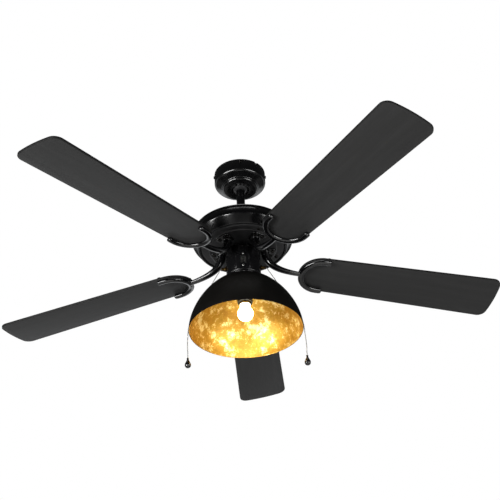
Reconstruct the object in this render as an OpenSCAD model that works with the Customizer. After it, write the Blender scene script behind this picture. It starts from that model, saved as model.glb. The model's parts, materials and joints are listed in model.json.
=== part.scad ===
// Five-blade ceiling fan with a pull-chain light kit, in millimetres.
// The origin is the centre of the hanger bracket's top face, on the ceiling; the fan hangs towards -Z.

/* [Ceiling mount] */
// Diameter of the hanger bracket's round plate
bracket_d = 126; // [118:1:150]
// Thickness of the bracket's sheet steel
bracket_t = 2; // [1.5:0.1:3]
// Distance between the centres of the two ceiling slots
slot_spacing = 84; // [70:1:92]
// Length of a ceiling slot, end to end
slot_len = 16; // [10:1:18]
// Width of a ceiling slot
slot_w = 6; // [4:0.5:8]

/* [Canopy] */
// Depth of the canopy below the ceiling
canopy_h = 51; // [51:1:66]
// Wall of the canopy
canopy_wall = 1.2; // [0.8:0.1:2]
// Diameter of the hole that the rod hangs through
canopy_hole_d = 45; // [42:1:50]

/* [Hanger rod] */
// Diameter of the hanger ball
ball_d = 50; // [46:1:54]
// Outer diameter of the rod
rod_d = 21.3; // [19:0.1:26]
// Wall of the rod
rod_wall = 2.1; // [1.5:0.1:3]
// Ceiling to the plane of the blades, at the axis
drop = 280; // [260:1:600]

/* [Motor] */
// Diameter of the motor housing
housing_d = 250; // [240:1:300]
// Height of the housing's side wall
housing_wall_h = 21; // [18:1:32]
// Wall of the housing shells
housing_wall = 1.3; // [0.8:0.1:2]
// Diameter of the fixed shaft
shaft_d = 17; // [15:0.5:20]

/* [Blades] */
// Diameter of the circle that the blade tips sweep
sweep_d = 1320; // [1000:1:1520]
// Width of a blade at its root
blade_root_w = 113; // [90:1:130]
// Width of a blade at its tip
blade_tip_w = 134; // [100:1:150]
// Thickness of a blade
blade_t = 6; // [4:0.5:9]
// Slope of a blade across its width
blade_pitch = 9.8; // [6:0.1:13]
// Angle that a blade droops towards its tip
blade_droop = 2.4; // [0:0.1:4]
// Height of the rotor's mounting face over the blades
iron_drop = 43; // [36:1:60]
// Thickness of an iron's arm at its root
arm_root_d = 22; // [16:1:24]
// Thickness of an iron's arm at its blade
arm_tip_d = 14; // [11:0.5:18]

/* [Switch cup] */
// Diameter of the switch cup
cup_d = 84; // [78:1:88]
// Height of the switch cup
cup_h = 72; // [66:1:100]
// Wall of the switch cup
cup_wall = 1.5; // [1:0.1:2]
// Travel of the reversing slider
slider_travel = 8; // [4:0.5:9]

/* [Light] */
// Diameter of the shade at its rim
shade_d = 271; // [180:1:330]
// Height of the shade
shade_h = 139; // [110:1:190]
// Wall of the shade
shade_wall = 1.2; // [0.8:0.1:2]
// Diameter of the bulb's glass
bulb_d = 38; // [36:1:60]

/* [Pull chains] */
// Diameter of a pull chain
chain_d = 2.4; // [2:0.1:3]
// Length of a pendant
pendant_h = 27; // [20:1:35]
// Diameter of a pendant
pendant_d = 14.5; // [10:0.5:18]

/* [Hidden] */

$fn = 96;
gap = 0.3;        // between pieces that pass each other
fit = 0.05;       // radial running fit of a shaft in its bore
cut = 1;          // how far a cutting shape runs past the face that it cuts

// Heights, from the ceiling down.
blade_z = -drop;
flange_z = blade_z + iron_drop;               // rotor face that the irons are bolted to
shoulder_z = flange_z + 27;                   // widest circle of the housing
rim_z = shoulder_z + housing_wall_h;          // upper rim of the housing
roof_z = rim_z + 25;                          // top of the motor's roof
cup_top_z = flange_z - 9;
cup_bottom_z = cup_top_z - cup_h;
fitter_h = 10;                                // of the fitter's rings, between the cup and the shade
shade_top_z = cup_bottom_z - fitter_h;
shade_rim_z = shade_top_z - shade_h;
control_drop = 47.25;                         // from the cup's top to its chain guides and switch
control_z = cup_top_z - control_drop;

// Canopy and bracket.
bracket_r = bracket_d / 2;
bracket_rim_h = 14;
canopy_r = bracket_r + gap + canopy_wall + 1;
canopy_screw_z = -8;
canopy_screw_az = -87;
rim_screw_d = 4;

// Hanger ball, with its centre below the ceiling.
ball_r = ball_d / 2;
ball_z = -ball_r - 7;
ball_top = 8;
seat_t = 3;
seat_top = -12;        // of the seat, from the centre of the ball
leg_y = ball_r + 5;
leg_w = 36;
leg_t = 2.5;
rod_r = rod_d / 2;
rod_top_z = ball_z + ball_top + 4;
pin_d = 6;
pin_len = 40;

// Coupling between the rod and the motor.
coupling_r = rod_r + 6.5;
coupling_flange_r = 27;
coupling_flange_h = 6;
coupling_top_z = roof_z + 36;
rod_bottom_z = roof_z + 12;
shaft_r = shaft_d / 2;
shaft_bore_r = 5;
shaft_top_z = roof_z + 9;
shaft_bottom_z = cup_top_z - 12;
pin_drop = 12;         // lower cross pin, from the top of the coupling

// Motor.
housing_r = housing_d / 2;
opening_r = housing_r - 20;      // round opening under the housing
rotor_r = opening_r - 9;
rotor_wall = 8;
air_gap = 0.6;
rotor_top_z = rim_z + 9;
rotor_joint_z = shoulder_z + 3;
bearing_r = 16;
bearing_h = 10;
stator_r = rotor_r - rotor_wall - air_gap;

// Blades and irons; the node list names one of each per blade.
blade_count = 5;
blade_step = 360 / blade_count;
blade_az = [for (i = [0:blade_count - 1]) -57.6 + i * blade_step];
tip_r = sweep_d / 2;
root_circle_s = 197;                      // centre of the blade's round root
root_half = blade_root_w / 2;
tip_half = blade_tip_w / 2;
tip_corner_r = 22;
tip_arc_r = 400;
yoke_w = 15;
yoke_t = 10;
yoke_r = root_half - yoke_w / 2 + 1;      // centre line of the yoke's bend
yoke_pad = 0.4;                           // the bosses stand proud of the yoke by this
yoke_z = -blade_t / 2 - yoke_t / 2 - yoke_pad;   // below the middle plane of the blade
yoke_leg = 14;
boss_r = 5.5;                             // boss round each blade screw, its seam turned off the arm's plane
iron_foot_t = 3.5;
iron_foot_in = 47;
iron_foot_out = 82;
iron_screw_s = 73;
iron_screw_w = 11;
iron_screw_d = 5;
blade_screw_d = 5;
blade_screw_at = [[root_circle_s + 8, yoke_r], [root_circle_s + 8, -yoke_r], [root_circle_s - yoke_r, 0]];

// Switch cup.
cup_r = cup_d / 2;
plate_r = cup_r - cup_wall - 0.2;
guide_bore_r = chain_d / 2 + 0.4;
slider_h = 6;
slot_h = slider_travel + slider_h + 2;
switch_screw_dz = 17;

// Light kit.
shade_r = shade_d / 2;
shade_swell = 1.09 * shade_h;             // height at which the dome would close
shade_power = 1.7;
nipple_r = 19.8;
nipple_bottom_z = shade_top_z - 17;
holder_r = 18;
holder_bottom_z = nipple_bottom_z - 48;
socket_r = 13.3;                          // E27 screw shell, inside
bulb_r = bulb_d / 2;
bulb_z = holder_bottom_z - 10.5 - bulb_r;

// Pull chains: points that each chain follows, chosen by hand.
chain_top = [
  [54, 0, -293.5], [57, 0, -295], [61, 1, -302], [70, 2, -318], [80, 3, -336], [92, 4, -358],
  [104, 5, -380], [117, 6, -401], [125.5, 7, -418], [132, 8, -435], [136, 9, -452],
  [137.5, 9, -467], [138, 9, -480]
];
light_tail = [[138, 9, -480], [139, 9, -496], [139.5, 9, -512], [139, 9, -526], [139, 9, -536]];
speed_tail = [[138, 9, -480], [138.5, 9, -492], [138.5, 9, -506], [138, 9, -518], [138, 9, -530]];
tail_gap = 0.3;

// ---- Helpers ----
function reversed(l) = [for (i = [len(l) - 1:-1:0]) l[i]];
function unit(v) = v / norm(v);
function lerp(a, b, t) = a + (b - a) * t;
function arc(c, r, a0, a1, n) = [for (i = [0:n]) let (a = lerp(a0, a1, i / n)) c + r * [cos(a), sin(a)]];
function bezier(p, t) = p[0] * pow(1 - t, 3) + 3 * p[1] * pow(1 - t, 2) * t
  + 3 * p[2] * (1 - t) * pow(t, 2) + p[3] * pow(t, 3);
function tangent(p, i) = unit(p[min(i + 1, len(p) - 1)] - p[max(i - 1, 0)]);
// A point given in a blade's own frame, seen in the frame of its iron.
function in_iron(p) = let (
    y = p[1] * cos(blade_pitch) + p[2] * sin(blade_pitch),
    z = -p[1] * sin(blade_pitch) + p[2] * cos(blade_pitch)
  ) [p[0] * cos(blade_droop) + z * sin(blade_droop), y, -p[0] * sin(blade_droop) + z * cos(blade_droop)];
// Radius of the shade's outer face at a height over its rim.
function shade_radius(h) = shade_r * pow(1 - pow(h / shade_swell, shade_power), 1 / shade_power);

// Solid along a path: each ring is an ellipse square to the path, with one axis along side.
module sweep(path, side, across, along, sides) {
  n = len(path);
  points = [for (i = [0:n - 1]) let (a = unit(cross(side, tangent(path, i)))) for (k = [0:sides - 1])
    path[i] + a * across[i] * cos(360 * k / sides) + side * along[i] * sin(360 * k / sides)];
  walls = [for (i = [0:n - 2]) for (k = [0:sides - 1]) let (m = (k + 1) % sides) each [
    [(i + 1) * sides + m, i * sides + m, i * sides + k],
    [(i + 1) * sides + k, (i + 1) * sides + m, i * sides + k]]];
  start = [for (k = [0:sides - 1]) k];
  end = [for (k = [sides - 1:-1:0]) (n - 1) * sides + k];
  polyhedron(points, concat(walls, [start, end]), convexity = 4);
}
module tube(r_out, r_in, z0, z1) {
  translate([0, 0, z0]) difference() {
    cylinder(r = r_out, h = z1 - z0);
    translate([0, 0, -cut]) cylinder(r = r_in, h = z1 - z0 + 2 * cut);
  }
}
module turned(profile) { rotate_extrude() polygon(profile); }
// Pan-head screw: head above z = 0, shank below it.
module screw(d, len, head_d, head_h) {
  translate([0, 0, -len]) cylinder(d = d, h = len + cut / 2, $fn = 32);
  rotate_extrude($fn = 48) polygon(concat([[0, 0], [head_d / 2, 0]],
    arc([head_d / 2 - head_h * 0.6, head_h * 0.4], head_h * 0.6, 0, 90, 5), [[0, head_h]]));
}
module around(n, first) { for (i = [0:n - 1]) rotate(first + i * 360 / n) children(); }
// Turns a piece that stands on +Z to point outwards along +X.
module outward(r, z) { translate([r, 0, z]) rotate([0, 90, 0]) children(); }
module at_blade(i) { translate([0, 0, blade_z]) rotate([-blade_pitch, blade_droop, blade_az[i]]) children(); }

// ---- Ceiling mount ----
module hanger_bracket() color("gainsboro") difference() {
  union() {
    translate([0, 0, -bracket_t]) cylinder(r = bracket_r, h = bracket_t);
    tube(bracket_r, bracket_r - bracket_t, -bracket_rim_h, -bracket_t / 2);
    for (s = [-1, 1]) translate([-leg_w / 2, s * leg_y - leg_t / 2, ball_z + seat_top - seat_t])
      cube([leg_w, leg_t, -ball_z - seat_top + seat_t - bracket_t / 2]);
    translate([-leg_w / 2, -leg_y, ball_z + seat_top - seat_t]) cube([leg_w, 2 * leg_y, seat_t]);
  }
  translate([0, 0, ball_z]) sphere(r = ball_r + fit);
  translate([0, 0, ball_z + seat_top - seat_t - cut])
    cylinder(r = sqrt(pow(ball_r, 2) - pow(seat_top, 2)) - 2.5, h = seat_t + 2 * cut);
  for (s = [-1, 1]) for (e = [-1, 1])
    translate([s * slot_spacing / 2 + e * (slot_len - slot_w) / 2, 0, -bracket_t - cut])
      cylinder(d = slot_w, h = bracket_t + 2 * cut);
  for (s = [-1, 1]) translate([s * slot_spacing / 2 - (slot_len - slot_w) / 2, -slot_w / 2, -bracket_t - cut])
    cube([slot_len - slot_w, slot_w, bracket_t + 2 * cut]);
  around(4, canopy_screw_az) outward(bracket_r - bracket_t - cut, canopy_screw_z)
    cylinder(d = rim_screw_d, h = bracket_t + 2 * cut, $fn = 32);
  translate([0, 0, -bracket_t - cut]) cylinder(r = 9, h = bracket_t + 2 * cut);
}

// Outline of the canopy from its rim down to its hole, moved inwards by the wall.
function canopy_line(w) = let (
    side = [canopy_r - 9, -0.55 * canopy_h], foot = [canopy_r - 27, 8 - canopy_h],
    waist = foot + 11 * [cos(-10), sin(-10)] + [0, 0.6]
  ) concat([[canopy_r - w, -0.3]], arc(side, 9 - w, 0, -65, 9), arc(waist, 3 + w, 115, 170, 4),
    arc(foot, 8 - w, -10, -90, 9), [[canopy_hole_d / 2, -canopy_h + w]]);
module canopy() color("#161616") difference() {
  turned(concat(canopy_line(0), reversed(canopy_line(canopy_wall))));
  around(4, canopy_screw_az) outward(canopy_r - canopy_wall - cut, canopy_screw_z)
    cylinder(d = rim_screw_d + 0.6, h = canopy_wall + 2 * cut, $fn = 32);
  around(2, canopy_screw_az + 38) translate([canopy_r - 4, -3.5, -8]) cube([8, 7, 10]);
  around(6, 14) translate([30, 0, -canopy_h - cut]) cylinder(d = 5, h = 14, $fn = 32);
}
module canopy_screws() color("#202020") around(4, canopy_screw_az)
  outward(canopy_r, canopy_screw_z) screw(rim_screw_d - 0.1, 6, 8, 2.4);
module terminal_block() color("white") difference() {
  translate([-15, leg_y + 7, -bracket_t - 12]) cube([30, 13, 12]);
  for (x = [-9, 0, 9]) {
    translate([x, leg_y + 6, -bracket_t - 6]) rotate([-90, 0, 0]) cylinder(d = 4, h = 15, $fn = 32);
    translate([x, leg_y + 13.5, -bracket_t - 13]) cylinder(d = 4.5, h = 5, $fn = 32);
  }
}

// ---- Hanger: everything that hangs from the ball and doesn't spin ----
module hanger_ball() color("#2a2a2a") difference() {
  translate([0, 0, ball_z]) intersection() {
    sphere(r = ball_r);
    translate([-ball_r, -ball_r, -ball_r + 3]) cube([2 * ball_r, 2 * ball_r, ball_r - 3 + ball_top]);
  }
  translate([0, 0, ball_z - ball_r]) cylinder(r = rod_r, h = 3 * ball_r);
  upper_pin_place() cylinder(d = pin_d, h = 2 * ball_d, center = true, $fn = 48);
  ball_screw_place() cylinder(d = 5, h = 20, $fn = 32);
}
module upper_pin_place() { translate([0, 0, ball_z + 2]) rotate([0, 90, 0]) children(); }
module lower_pin_place() { translate([0, 0, coupling_top_z - pin_drop]) rotate([0, 90, 0]) children(); }
module ball_screw_place() { translate([0, -rod_r, ball_z + 1]) rotate([90, 0, 0]) children(); }
module coupling_screw_place() { translate([0, -rod_r, coupling_top_z - 7]) rotate([90, 0, 0]) children(); }
module cross_pins() color("silver") {
  upper_pin_place() cylinder(d = pin_d, h = pin_len, center = true, $fn = 48);
  lower_pin_place() cylinder(d = pin_d, h = pin_len, center = true, $fn = 48);
}
module set_screws() color("silver") {
  ball_screw_place() cylinder(d = 5, h = 12, $fn = 32);
  coupling_screw_place() cylinder(d = 5, h = 10, $fn = 32);
}
module downrod() color("#161616") difference() {
  tube(rod_r, rod_r - rod_wall, rod_bottom_z, rod_top_z);
  upper_pin_place() cylinder(d = pin_d, h = 2 * rod_d, center = true, $fn = 48);
  lower_pin_place() cylinder(d = pin_d, h = 2 * rod_d, center = true, $fn = 48);
}
module coupling() color("dimgray") difference() {
  union() {
    translate([0, 0, roof_z]) cylinder(r = coupling_flange_r, h = coupling_flange_h);
    translate([0, 0, roof_z]) cylinder(r = coupling_r, h = coupling_top_z - roof_z);
  }
  translate([0, 0, rod_bottom_z]) cylinder(r = rod_r, h = 60);
  translate([0, 0, roof_z - cut]) cylinder(r = shaft_r, h = shaft_top_z - roof_z + cut);
  translate([0, 0, roof_z]) cylinder(r = shaft_bore_r, h = 30);
  lower_pin_place() cylinder(d = pin_d, h = 3 * coupling_r, center = true, $fn = 48);
  coupling_screw_place() cylinder(d = 5, h = 20, $fn = 32);
}
cover_r = 37;
cover_h = 52;
function cover_line(w) = concat([[cover_r - w, roof_z]],
  arc([cover_r - 20, roof_z + cover_h - 20], 20 - w, 0, 72, 8),
  [[rod_r + gap, roof_z + cover_h - w + 0.4]]);
module coupling_cover() color("#161616") turned(concat(cover_line(0), reversed(cover_line(1.2))));

// ---- Motor housing ----
skirt_h = 8;
rim_screw_az = -71.5;
seam_z = rim_z - skirt_h;
function roof_line(w) = concat([[20, roof_z - w]], [[62, roof_z - w]],
  arc([62, roof_z - 30], 30 - w, 88, 70, 3),
  arc([housing_r - 9.5, rim_z - 3], 7 - w, 65, 0, 6), [[housing_r - 2.5 - w, seam_z]]);
module motor_top_housing() color("#1a1a1a") difference() {
  turned(concat(roof_line(0), reversed(roof_line(housing_wall))));
  around(3, 30) translate([22.5, 0, roof_z - 5]) cylinder(d = 4, h = 10, $fn = 32);
  around(4, rim_screw_az) outward(housing_r - 8, seam_z + 3) cylinder(d = 4.4, h = 20, $fn = 32);
}
function drum_line(w) = concat([[housing_r - 2 - w, seam_z - gap]],
  arc([housing_r - 12, shoulder_z], 12 - w, 10, -37, 8),
  arc([opening_r + 3, flange_z + 4.6], 3 - w, -37, -180, 7), [[opening_r + w, flange_z + 9]]);
module motor_bottom_housing() color("#1a1a1a") difference() {
  union() {
    turned(concat(drum_line(0), reversed(drum_line(housing_wall))));
    tube(housing_r - 2.5, housing_r - 5.5, seam_z - 4, seam_z - gap);
    tube(housing_r - 2.5 - housing_wall - 0.1, housing_r - 5.5, seam_z - cut, seam_z + 5);
  }
  around(4, rim_screw_az) outward(housing_r - 8, seam_z + 3) cylinder(d = 4.4, h = 20, $fn = 32);
  around(4, 25) translate([housing_r - 11, 0, flange_z - 5]) cylinder(d = 4, h = 14, $fn = 32);
}
module housing_screws() color("#202020") {
  around(4, rim_screw_az) outward(housing_r - 2.5, seam_z + 3) screw(4, 3, 6, 2.6);
}

// ---- Motor ----
module motor_shaft() color("silver") tube(shaft_r, shaft_bore_r, shaft_bottom_z, shaft_top_z);
stator_z = rotor_joint_z - 11;
stator_h = 22;
stator_slots = 16;
module stator_core() color("slategray") difference() {
  translate([0, 0, stator_z]) cylinder(r = stator_r, h = stator_h);
  translate([0, 0, stator_z - cut]) cylinder(r = shaft_r, h = stator_h + 2 * cut);
  around(stator_slots, 0) translate([stator_r - 18, -4, stator_z - cut]) cube([14, 8, stator_h + 2 * cut]);
  around(stator_slots, 0) translate([stator_r - 5, -1.5, stator_z - cut]) cube([8, 3, stator_h + 2 * cut]);
}
module stator_windings() color("#b8692e") {
  for (z = [stator_z + stator_h, stator_z - 6]) tube(stator_r - 4, stator_r - 18, z, z + 6);
  around(stator_slots, 0) translate([stator_r - 17, -3, stator_z]) cube([12, 6, stator_h]);
}
module bearing(z) {
  tube(bearing_r, bearing_r - 2.4, z, z + bearing_h);
  tube(bearing_r - 5, shaft_r + fit, z, z + bearing_h);
  around(9, 0) translate([bearing_r - 3.7, 0, z + bearing_h / 2]) sphere(r = 1.2, $fn = 32);
}
upper_bearing_z = rotor_top_z - bearing_h;
lower_bearing_z = flange_z + 3;
module upper_bearing() color("silver") bearing(upper_bearing_z);
module lower_bearing() color("silver") bearing(lower_bearing_z);
module rotor_top_can() color("slategray") difference() {
  union() {
    translate([0, 0, upper_bearing_z + 3]) cylinder(r = rotor_r, h = 3);
    tube(rotor_r, rotor_r - rotor_wall, rotor_joint_z, upper_bearing_z + 4);
    translate([0, 0, upper_bearing_z]) cylinder(r = bearing_r + 4, h = bearing_h);
  }
  translate([0, 0, upper_bearing_z - cut]) cylinder(r = bearing_r, h = bearing_h + 2 * cut);
  around(4, -64) translate([rotor_r - 4, 0, rotor_joint_z - cut]) cylinder(d = 4, h = 9, $fn = 32);
}
step_h = 2;
module rotor_bottom_can() color("slategray") difference() {
  union() {
    translate([0, 0, flange_z + 2 * step_h]) cylinder(r = opening_r - 1.5, h = 2);
    turned([[0, flange_z], [rotor_r - 13, flange_z], [rotor_r - 11, flange_z + step_h],
      [rotor_r + 3, flange_z + step_h], [rotor_r + 5, flange_z + 2 * step_h + 1],
      [0, flange_z + 2 * step_h + 1]]);
    tube(rotor_r, rotor_r - rotor_wall, flange_z + step_h, rotor_joint_z);
    translate([0, 0, flange_z]) cylinder(r = bearing_r + 4, h = bearing_h + 3);
  }
  translate([0, 0, lower_bearing_z]) cylinder(r = bearing_r, h = bearing_h + cut);
  translate([0, 0, flange_z - cut]) cylinder(r = bearing_r - 2, h = bearing_h);
  around(4, -64) translate([rotor_r - 4, 0, flange_z - cut]) cylinder(d = 4, h = 60, $fn = 32);
  for (i = [0:blade_count - 1]) rotate(blade_az[i]) for (s = [-1, 1])
    translate([iron_screw_s, s * iron_screw_w, flange_z - cut]) cylinder(d = iron_screw_d, h = 12, $fn = 32);
}
module rotor_screws() color("silver") around(4, -64)
  translate([rotor_r - 4, 0, flange_z + step_h]) rotate([180, 0, 0])
    screw(4, rotor_joint_z - flange_z - step_h + 6, 9, 3.4);

// ---- Blades ----
arm_start = [57, 0, iron_drop - iron_foot_t / 2];
arm_end = in_iron([root_circle_s - yoke_r, 0, yoke_z]);
arm_curve = [arm_start, [58, 0, arm_start[2] - 36], [86, 0, arm_end[2] + 4], arm_end];
arm_steps = 13;
arm_path = [for (i = [0:arm_steps]) bezier(arm_curve, i / arm_steps)];
arm_widths = [for (i = [0:arm_steps]) lerp(arm_root_d, arm_tip_d, i / arm_steps) / 2];
arm_depths = [for (i = [0:arm_steps]) lerp(arm_root_d, yoke_t - 0.4, i / arm_steps) / 2];
yoke_flat = concat(
  [for (s = [yoke_leg, yoke_leg - 0.6, yoke_leg - 2.5, yoke_leg - 6]) [root_circle_s + s, yoke_r]],
  [for (i = [0:18]) [root_circle_s, 0] + yoke_r * [-sin(180 * i / 18), cos(180 * i / 18)]],
  [for (s = [yoke_leg - 6, yoke_leg - 2.5, yoke_leg - 0.6, yoke_leg]) [root_circle_s + s, -yoke_r]]);
yoke_end = [0.35, 0.7, 0.93];
function yoke_scale(i) = let (j = min(i, len(yoke_flat) - 1 - i)) j < len(yoke_end) ? yoke_end[j] : 1;
yoke_path = [for (p = yoke_flat) in_iron([p[0], p[1], yoke_z])];
module blade_iron(i) color("#101010") rotate(blade_az[i]) translate([0, 0, blade_z]) difference() {
  union() {
    sweep(arm_path, [0, -1, 0], arm_depths, arm_widths, 12);
    sweep(yoke_path, in_iron([0, 0, 1]), [for (i = [0:len(yoke_path) - 1]) yoke_scale(i) * yoke_w / 2],
      [for (i = [0:len(yoke_path) - 1]) yoke_scale(i) * yoke_t / 2], 10);
    translate([0, 0, iron_drop - iron_foot_t]) linear_extrude(iron_foot_t) polygon(concat(
      arc([iron_foot_in + 6, 10], 6, 180, 90, 5), arc([iron_foot_out - 7, 13], 7, 90, 0, 6),
      arc([iron_foot_out - 7, -13], 7, 0, -90, 6), arc([iron_foot_in + 6, -10], 6, -90, -180, 5)));
    for (p = blade_screw_at) rotate([-blade_pitch, blade_droop, 0]) translate([p[0], p[1], yoke_z]) rotate(17)
      cylinder(r = boss_r, h = -yoke_z - blade_t / 2, $fn = 32);
  }
  for (s = [-1, 1]) translate([iron_screw_s, s * iron_screw_w, iron_drop - iron_foot_t - 8])
    cylinder(d = iron_screw_d + 0.4, h = 20, $fn = 32);
  for (p = blade_screw_at) rotate([-blade_pitch, blade_droop, 0]) translate([p[0], p[1], yoke_z - 1])
    cylinder(d = blade_screw_d, h = 20, $fn = 32);
}
module iron_screws() color("silver") for (i = [0:blade_count - 1]) rotate(blade_az[i]) for (s = [-1, 1])
  translate([iron_screw_s, s * iron_screw_w, flange_z - iron_foot_t]) rotate([180, 0, 0])
    screw(iron_screw_d, 9, 9.5, 3);

corner_s = tip_r - tip_arc_r + sqrt(pow(tip_arc_r - tip_corner_r, 2) - pow(tip_half - tip_corner_r, 2));
corner_a = asin((tip_half - tip_corner_r) / (tip_arc_r - tip_corner_r));
blade_outline = concat(
  arc([root_circle_s, 0], root_half, 90, 270, 40),
  arc([corner_s, -(tip_half - tip_corner_r)], tip_corner_r, -90, -corner_a, 8),
  arc([tip_r - tip_arc_r, 0], tip_arc_r, -corner_a, corner_a, 10),
  arc([corner_s, tip_half - tip_corner_r], tip_corner_r, corner_a, 90, 8));
module blade(i) color("#303030") at_blade(i) difference() {
  translate([0, 0, -blade_t / 2]) linear_extrude(blade_t) polygon(blade_outline);
  for (p = blade_screw_at) translate([p[0], p[1], -blade_t])
    cylinder(d = blade_screw_d + 0.5, h = 2 * blade_t, $fn = 32);
}
module blade_screws() color("silver") for (i = [0:blade_count - 1]) at_blade(i)
  for (p = blade_screw_at) translate([p[0], p[1], blade_t / 2]) screw(blade_screw_d, blade_t + 4.5, 11, 2.6);

// ---- Switch cup ----
plate_t = 3;
module switch_plate() color("gainsboro") difference() {
  union() {
    translate([0, 0, cup_top_z - plate_t]) cylinder(r = plate_r, h = plate_t);
    tube(plate_r, plate_r - 1.5, cup_top_z - 12, cup_top_z - 1);
    translate([0, 0, cup_top_z - cut]) cylinder(r = 13, h = 3 + cut);
  }
  translate([0, 0, cup_top_z - 20]) cylinder(r = shaft_r, h = 40);
  around(3, 30) outward(plate_r - 4, cup_top_z - 7.5) cylinder(d = 3.4, h = 8, $fn = 32);
}
module shaft_nut() color("silver") difference() {
  translate([0, 0, cup_top_z - plate_t - 6]) cylinder(d = 28, h = 6, $fn = 6);
  translate([0, 0, cup_top_z - 30]) cylinder(r = shaft_r, h = 60);
}
module switch_cup() color("#141414") difference() {
  turned(concat([[cup_r - cup_wall, cup_top_z], [cup_r - 0.8, cup_top_z]],
    [[cup_r, cup_top_z - 0.8], [cup_r, cup_bottom_z], [cup_r - cup_wall, cup_bottom_z]]));
  around(3, 30) outward(cup_r - 6, cup_top_z - 7.5) cylinder(d = 3.4, h = 12, $fn = 32);
  for (s = [-1, 1]) rotate(s > 0 ? 0 : 180) outward(cup_r - 6, control_z) cylinder(r = 5, h = 12, $fn = 48);
  translate([-7, -cup_r - cut, control_z - slot_h / 2 - 2.5]) cube([14, 8, slot_h + 5]);
  for (s = [-1, 1]) translate([0, -cup_r - cut, control_z + s * switch_screw_dz]) rotate([-90, 0, 0])
    cylinder(d = 3.4, h = 8, $fn = 32);
}
module cup_screws() color("silver") around(3, 30) outward(cup_r, cup_top_z - 7.5) screw(3.4, 5, 6.5, 2);

switch_face = -(cup_r - cup_wall - 2.2);
module reverse_switch() color("silver") difference() {
  union() {
    translate([-8, switch_face, control_z - switch_screw_dz - 4]) cube([16, 1.2, 2 * switch_screw_dz + 8]);
    translate([-7, switch_face + 1, control_z - 12]) cube([14, 10, 24]);
  }
  translate([-3, switch_face - cut, control_z - slot_h / 2]) cube([6, 8, slot_h]);
  for (s = [-1, 1]) translate([0, switch_face - cut, control_z + s * switch_screw_dz]) rotate([-90, 0, 0])
    cylinder(d = 3, h = 4, $fn = 32);
}
module reverse_slider() color("#0c0c0c") translate([-2.6, switch_face - 2.6, control_z - slot_h / 2 + 1])
  cube([5.2, 9, slider_h]);
module switch_screws() color("silver") for (s = [-1, 1])
  translate([0, -cup_r, control_z + s * switch_screw_dz]) rotate([90, 0, 0]) screw(3, 5, 6, 1.8);
// Body of a pull switch, on the +X side of the cup.
module pull_switch() difference() {
  translate([11, -10, control_z - 13]) cube([cup_r - cup_wall - 5 - 11, 20, 26]);
  outward(15, control_z) cylinder(r = 4, h = 40, $fn = 48);
}
module chain_guide() difference() {
  union() {
    outward(cup_r - cup_wall - 5 - 6, control_z) cylinder(r = 4, h = 6, $fn = 48);
    outward(cup_r - cup_wall - 5, control_z) cylinder(r = 4.9, h = 10, $fn = 48);
    outward(cup_r, control_z) cylinder(d = 15, h = 3, $fn = 6);
    outward(cup_r + 3, control_z) rotate_extrude($fn = 48)
      polygon([[0, 0], [4.6, 0], [3.4, 2], [3.4, 6], [5.2, 9], [0, 9]]);
  }
  outward(10, control_z) cylinder(r = guide_bore_r, h = 60, $fn = 32);
}
module speed_switch() color("#5a3a22") rotate(180) pull_switch();
module light_switch() color("#5a3a22") pull_switch();
module speed_chain_guide() color("goldenrod") rotate(180) chain_guide();
module light_chain_guide() color("goldenrod") chain_guide();
module capacitor() color("#222222") translate([-16, 13, control_z - 14]) cube([32, 14, 28]);
// Bundle of leads: beside the cross pins in the rod, then down the bore of the shaft.
lead_path = [[0, 5.4, rod_top_z + 5], [0, 5.4, roof_z + 20], [0, 2.5, rod_bottom_z + 0.5],
  [0, 2.5, roof_z], [0, 2.5, shaft_bottom_z - 8]];
module motor_leads() color("white")
  sweep(lead_path, [1, 0, 0], [for (p = lead_path) 2.1], [for (p = lead_path) 2.1], 10);

// ---- Light kit ----
fitter_ring = [[1, 0], [1.6, -1.5], [1, -3], [-0.6, -4], [-0.6, -6], [1, -7], [1.6, -8.5], [1, -10]];
module light_fitter() color("#141414") difference() {
  union() {
    turned(concat([[0, cup_bottom_z - 6], [cup_r - 4, cup_bottom_z - 6], [cup_r - 4, cup_bottom_z]],
      [for (p = fitter_ring) [cup_r + p[0], cup_bottom_z + p[1]]], [[0, cup_bottom_z - fitter_h]]));
    tube(cup_r - cup_wall - 0.2, cup_r - 4, cup_bottom_z - 1, cup_bottom_z + 3);
    translate([0, 0, nipple_bottom_z]) cylinder(r = nipple_r, h = cup_bottom_z - nipple_bottom_z - 7);
  }
  translate([0, 0, nipple_bottom_z - cut]) cylinder(r = nipple_r - 4, h = 60);
}
shade_steps = 22;
shade_neck_r = cup_r - 2;
// The dome's outline from its neck to its rim, moved inwards by the wall.
function shade_line(w) = concat([[nipple_r + 0.4, shade_top_z - w], [shade_neck_r - 3, shade_top_z - w]],
  [for (i = [0:shade_steps]) let (h = shade_h * 0.985 * cos(90 * i / shade_steps))
    [shade_radius(h) - w, shade_rim_z + h]]);
module shade() color("#17140e") turned(concat(shade_line(0), reversed(shade_line(shade_wall))));
module shade_nut() color("goldenrod") difference() {
  translate([0, 0, shade_top_z - shade_wall - 5]) cylinder(r = nipple_r + 7, h = 5);
  translate([0, 0, shade_top_z - 30]) cylinder(r = nipple_r, h = 60);
}
module lampholder() color("#101010") difference() {
  union() {
    translate([0, 0, holder_bottom_z]) cylinder(r = holder_r, h = nipple_bottom_z - holder_bottom_z - 5);
    translate([0, 0, nipple_bottom_z - 6]) cylinder(r = holder_r - 3, h = 6);
    for (z = [4, 9, 14]) translate([0, 0, holder_bottom_z + z]) cylinder(r = holder_r + 0.8, h = 2);
  }
  translate([0, 0, holder_bottom_z - cut]) cylinder(r = socket_r + 0.8, h = 32 + cut);
  translate([0, 0, holder_bottom_z]) cylinder(r = 5, h = 80);
}
module socket_shell() color("goldenrod")
  tube(socket_r + 0.8, socket_r, holder_bottom_z + 2, holder_bottom_z + 32);
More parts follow.
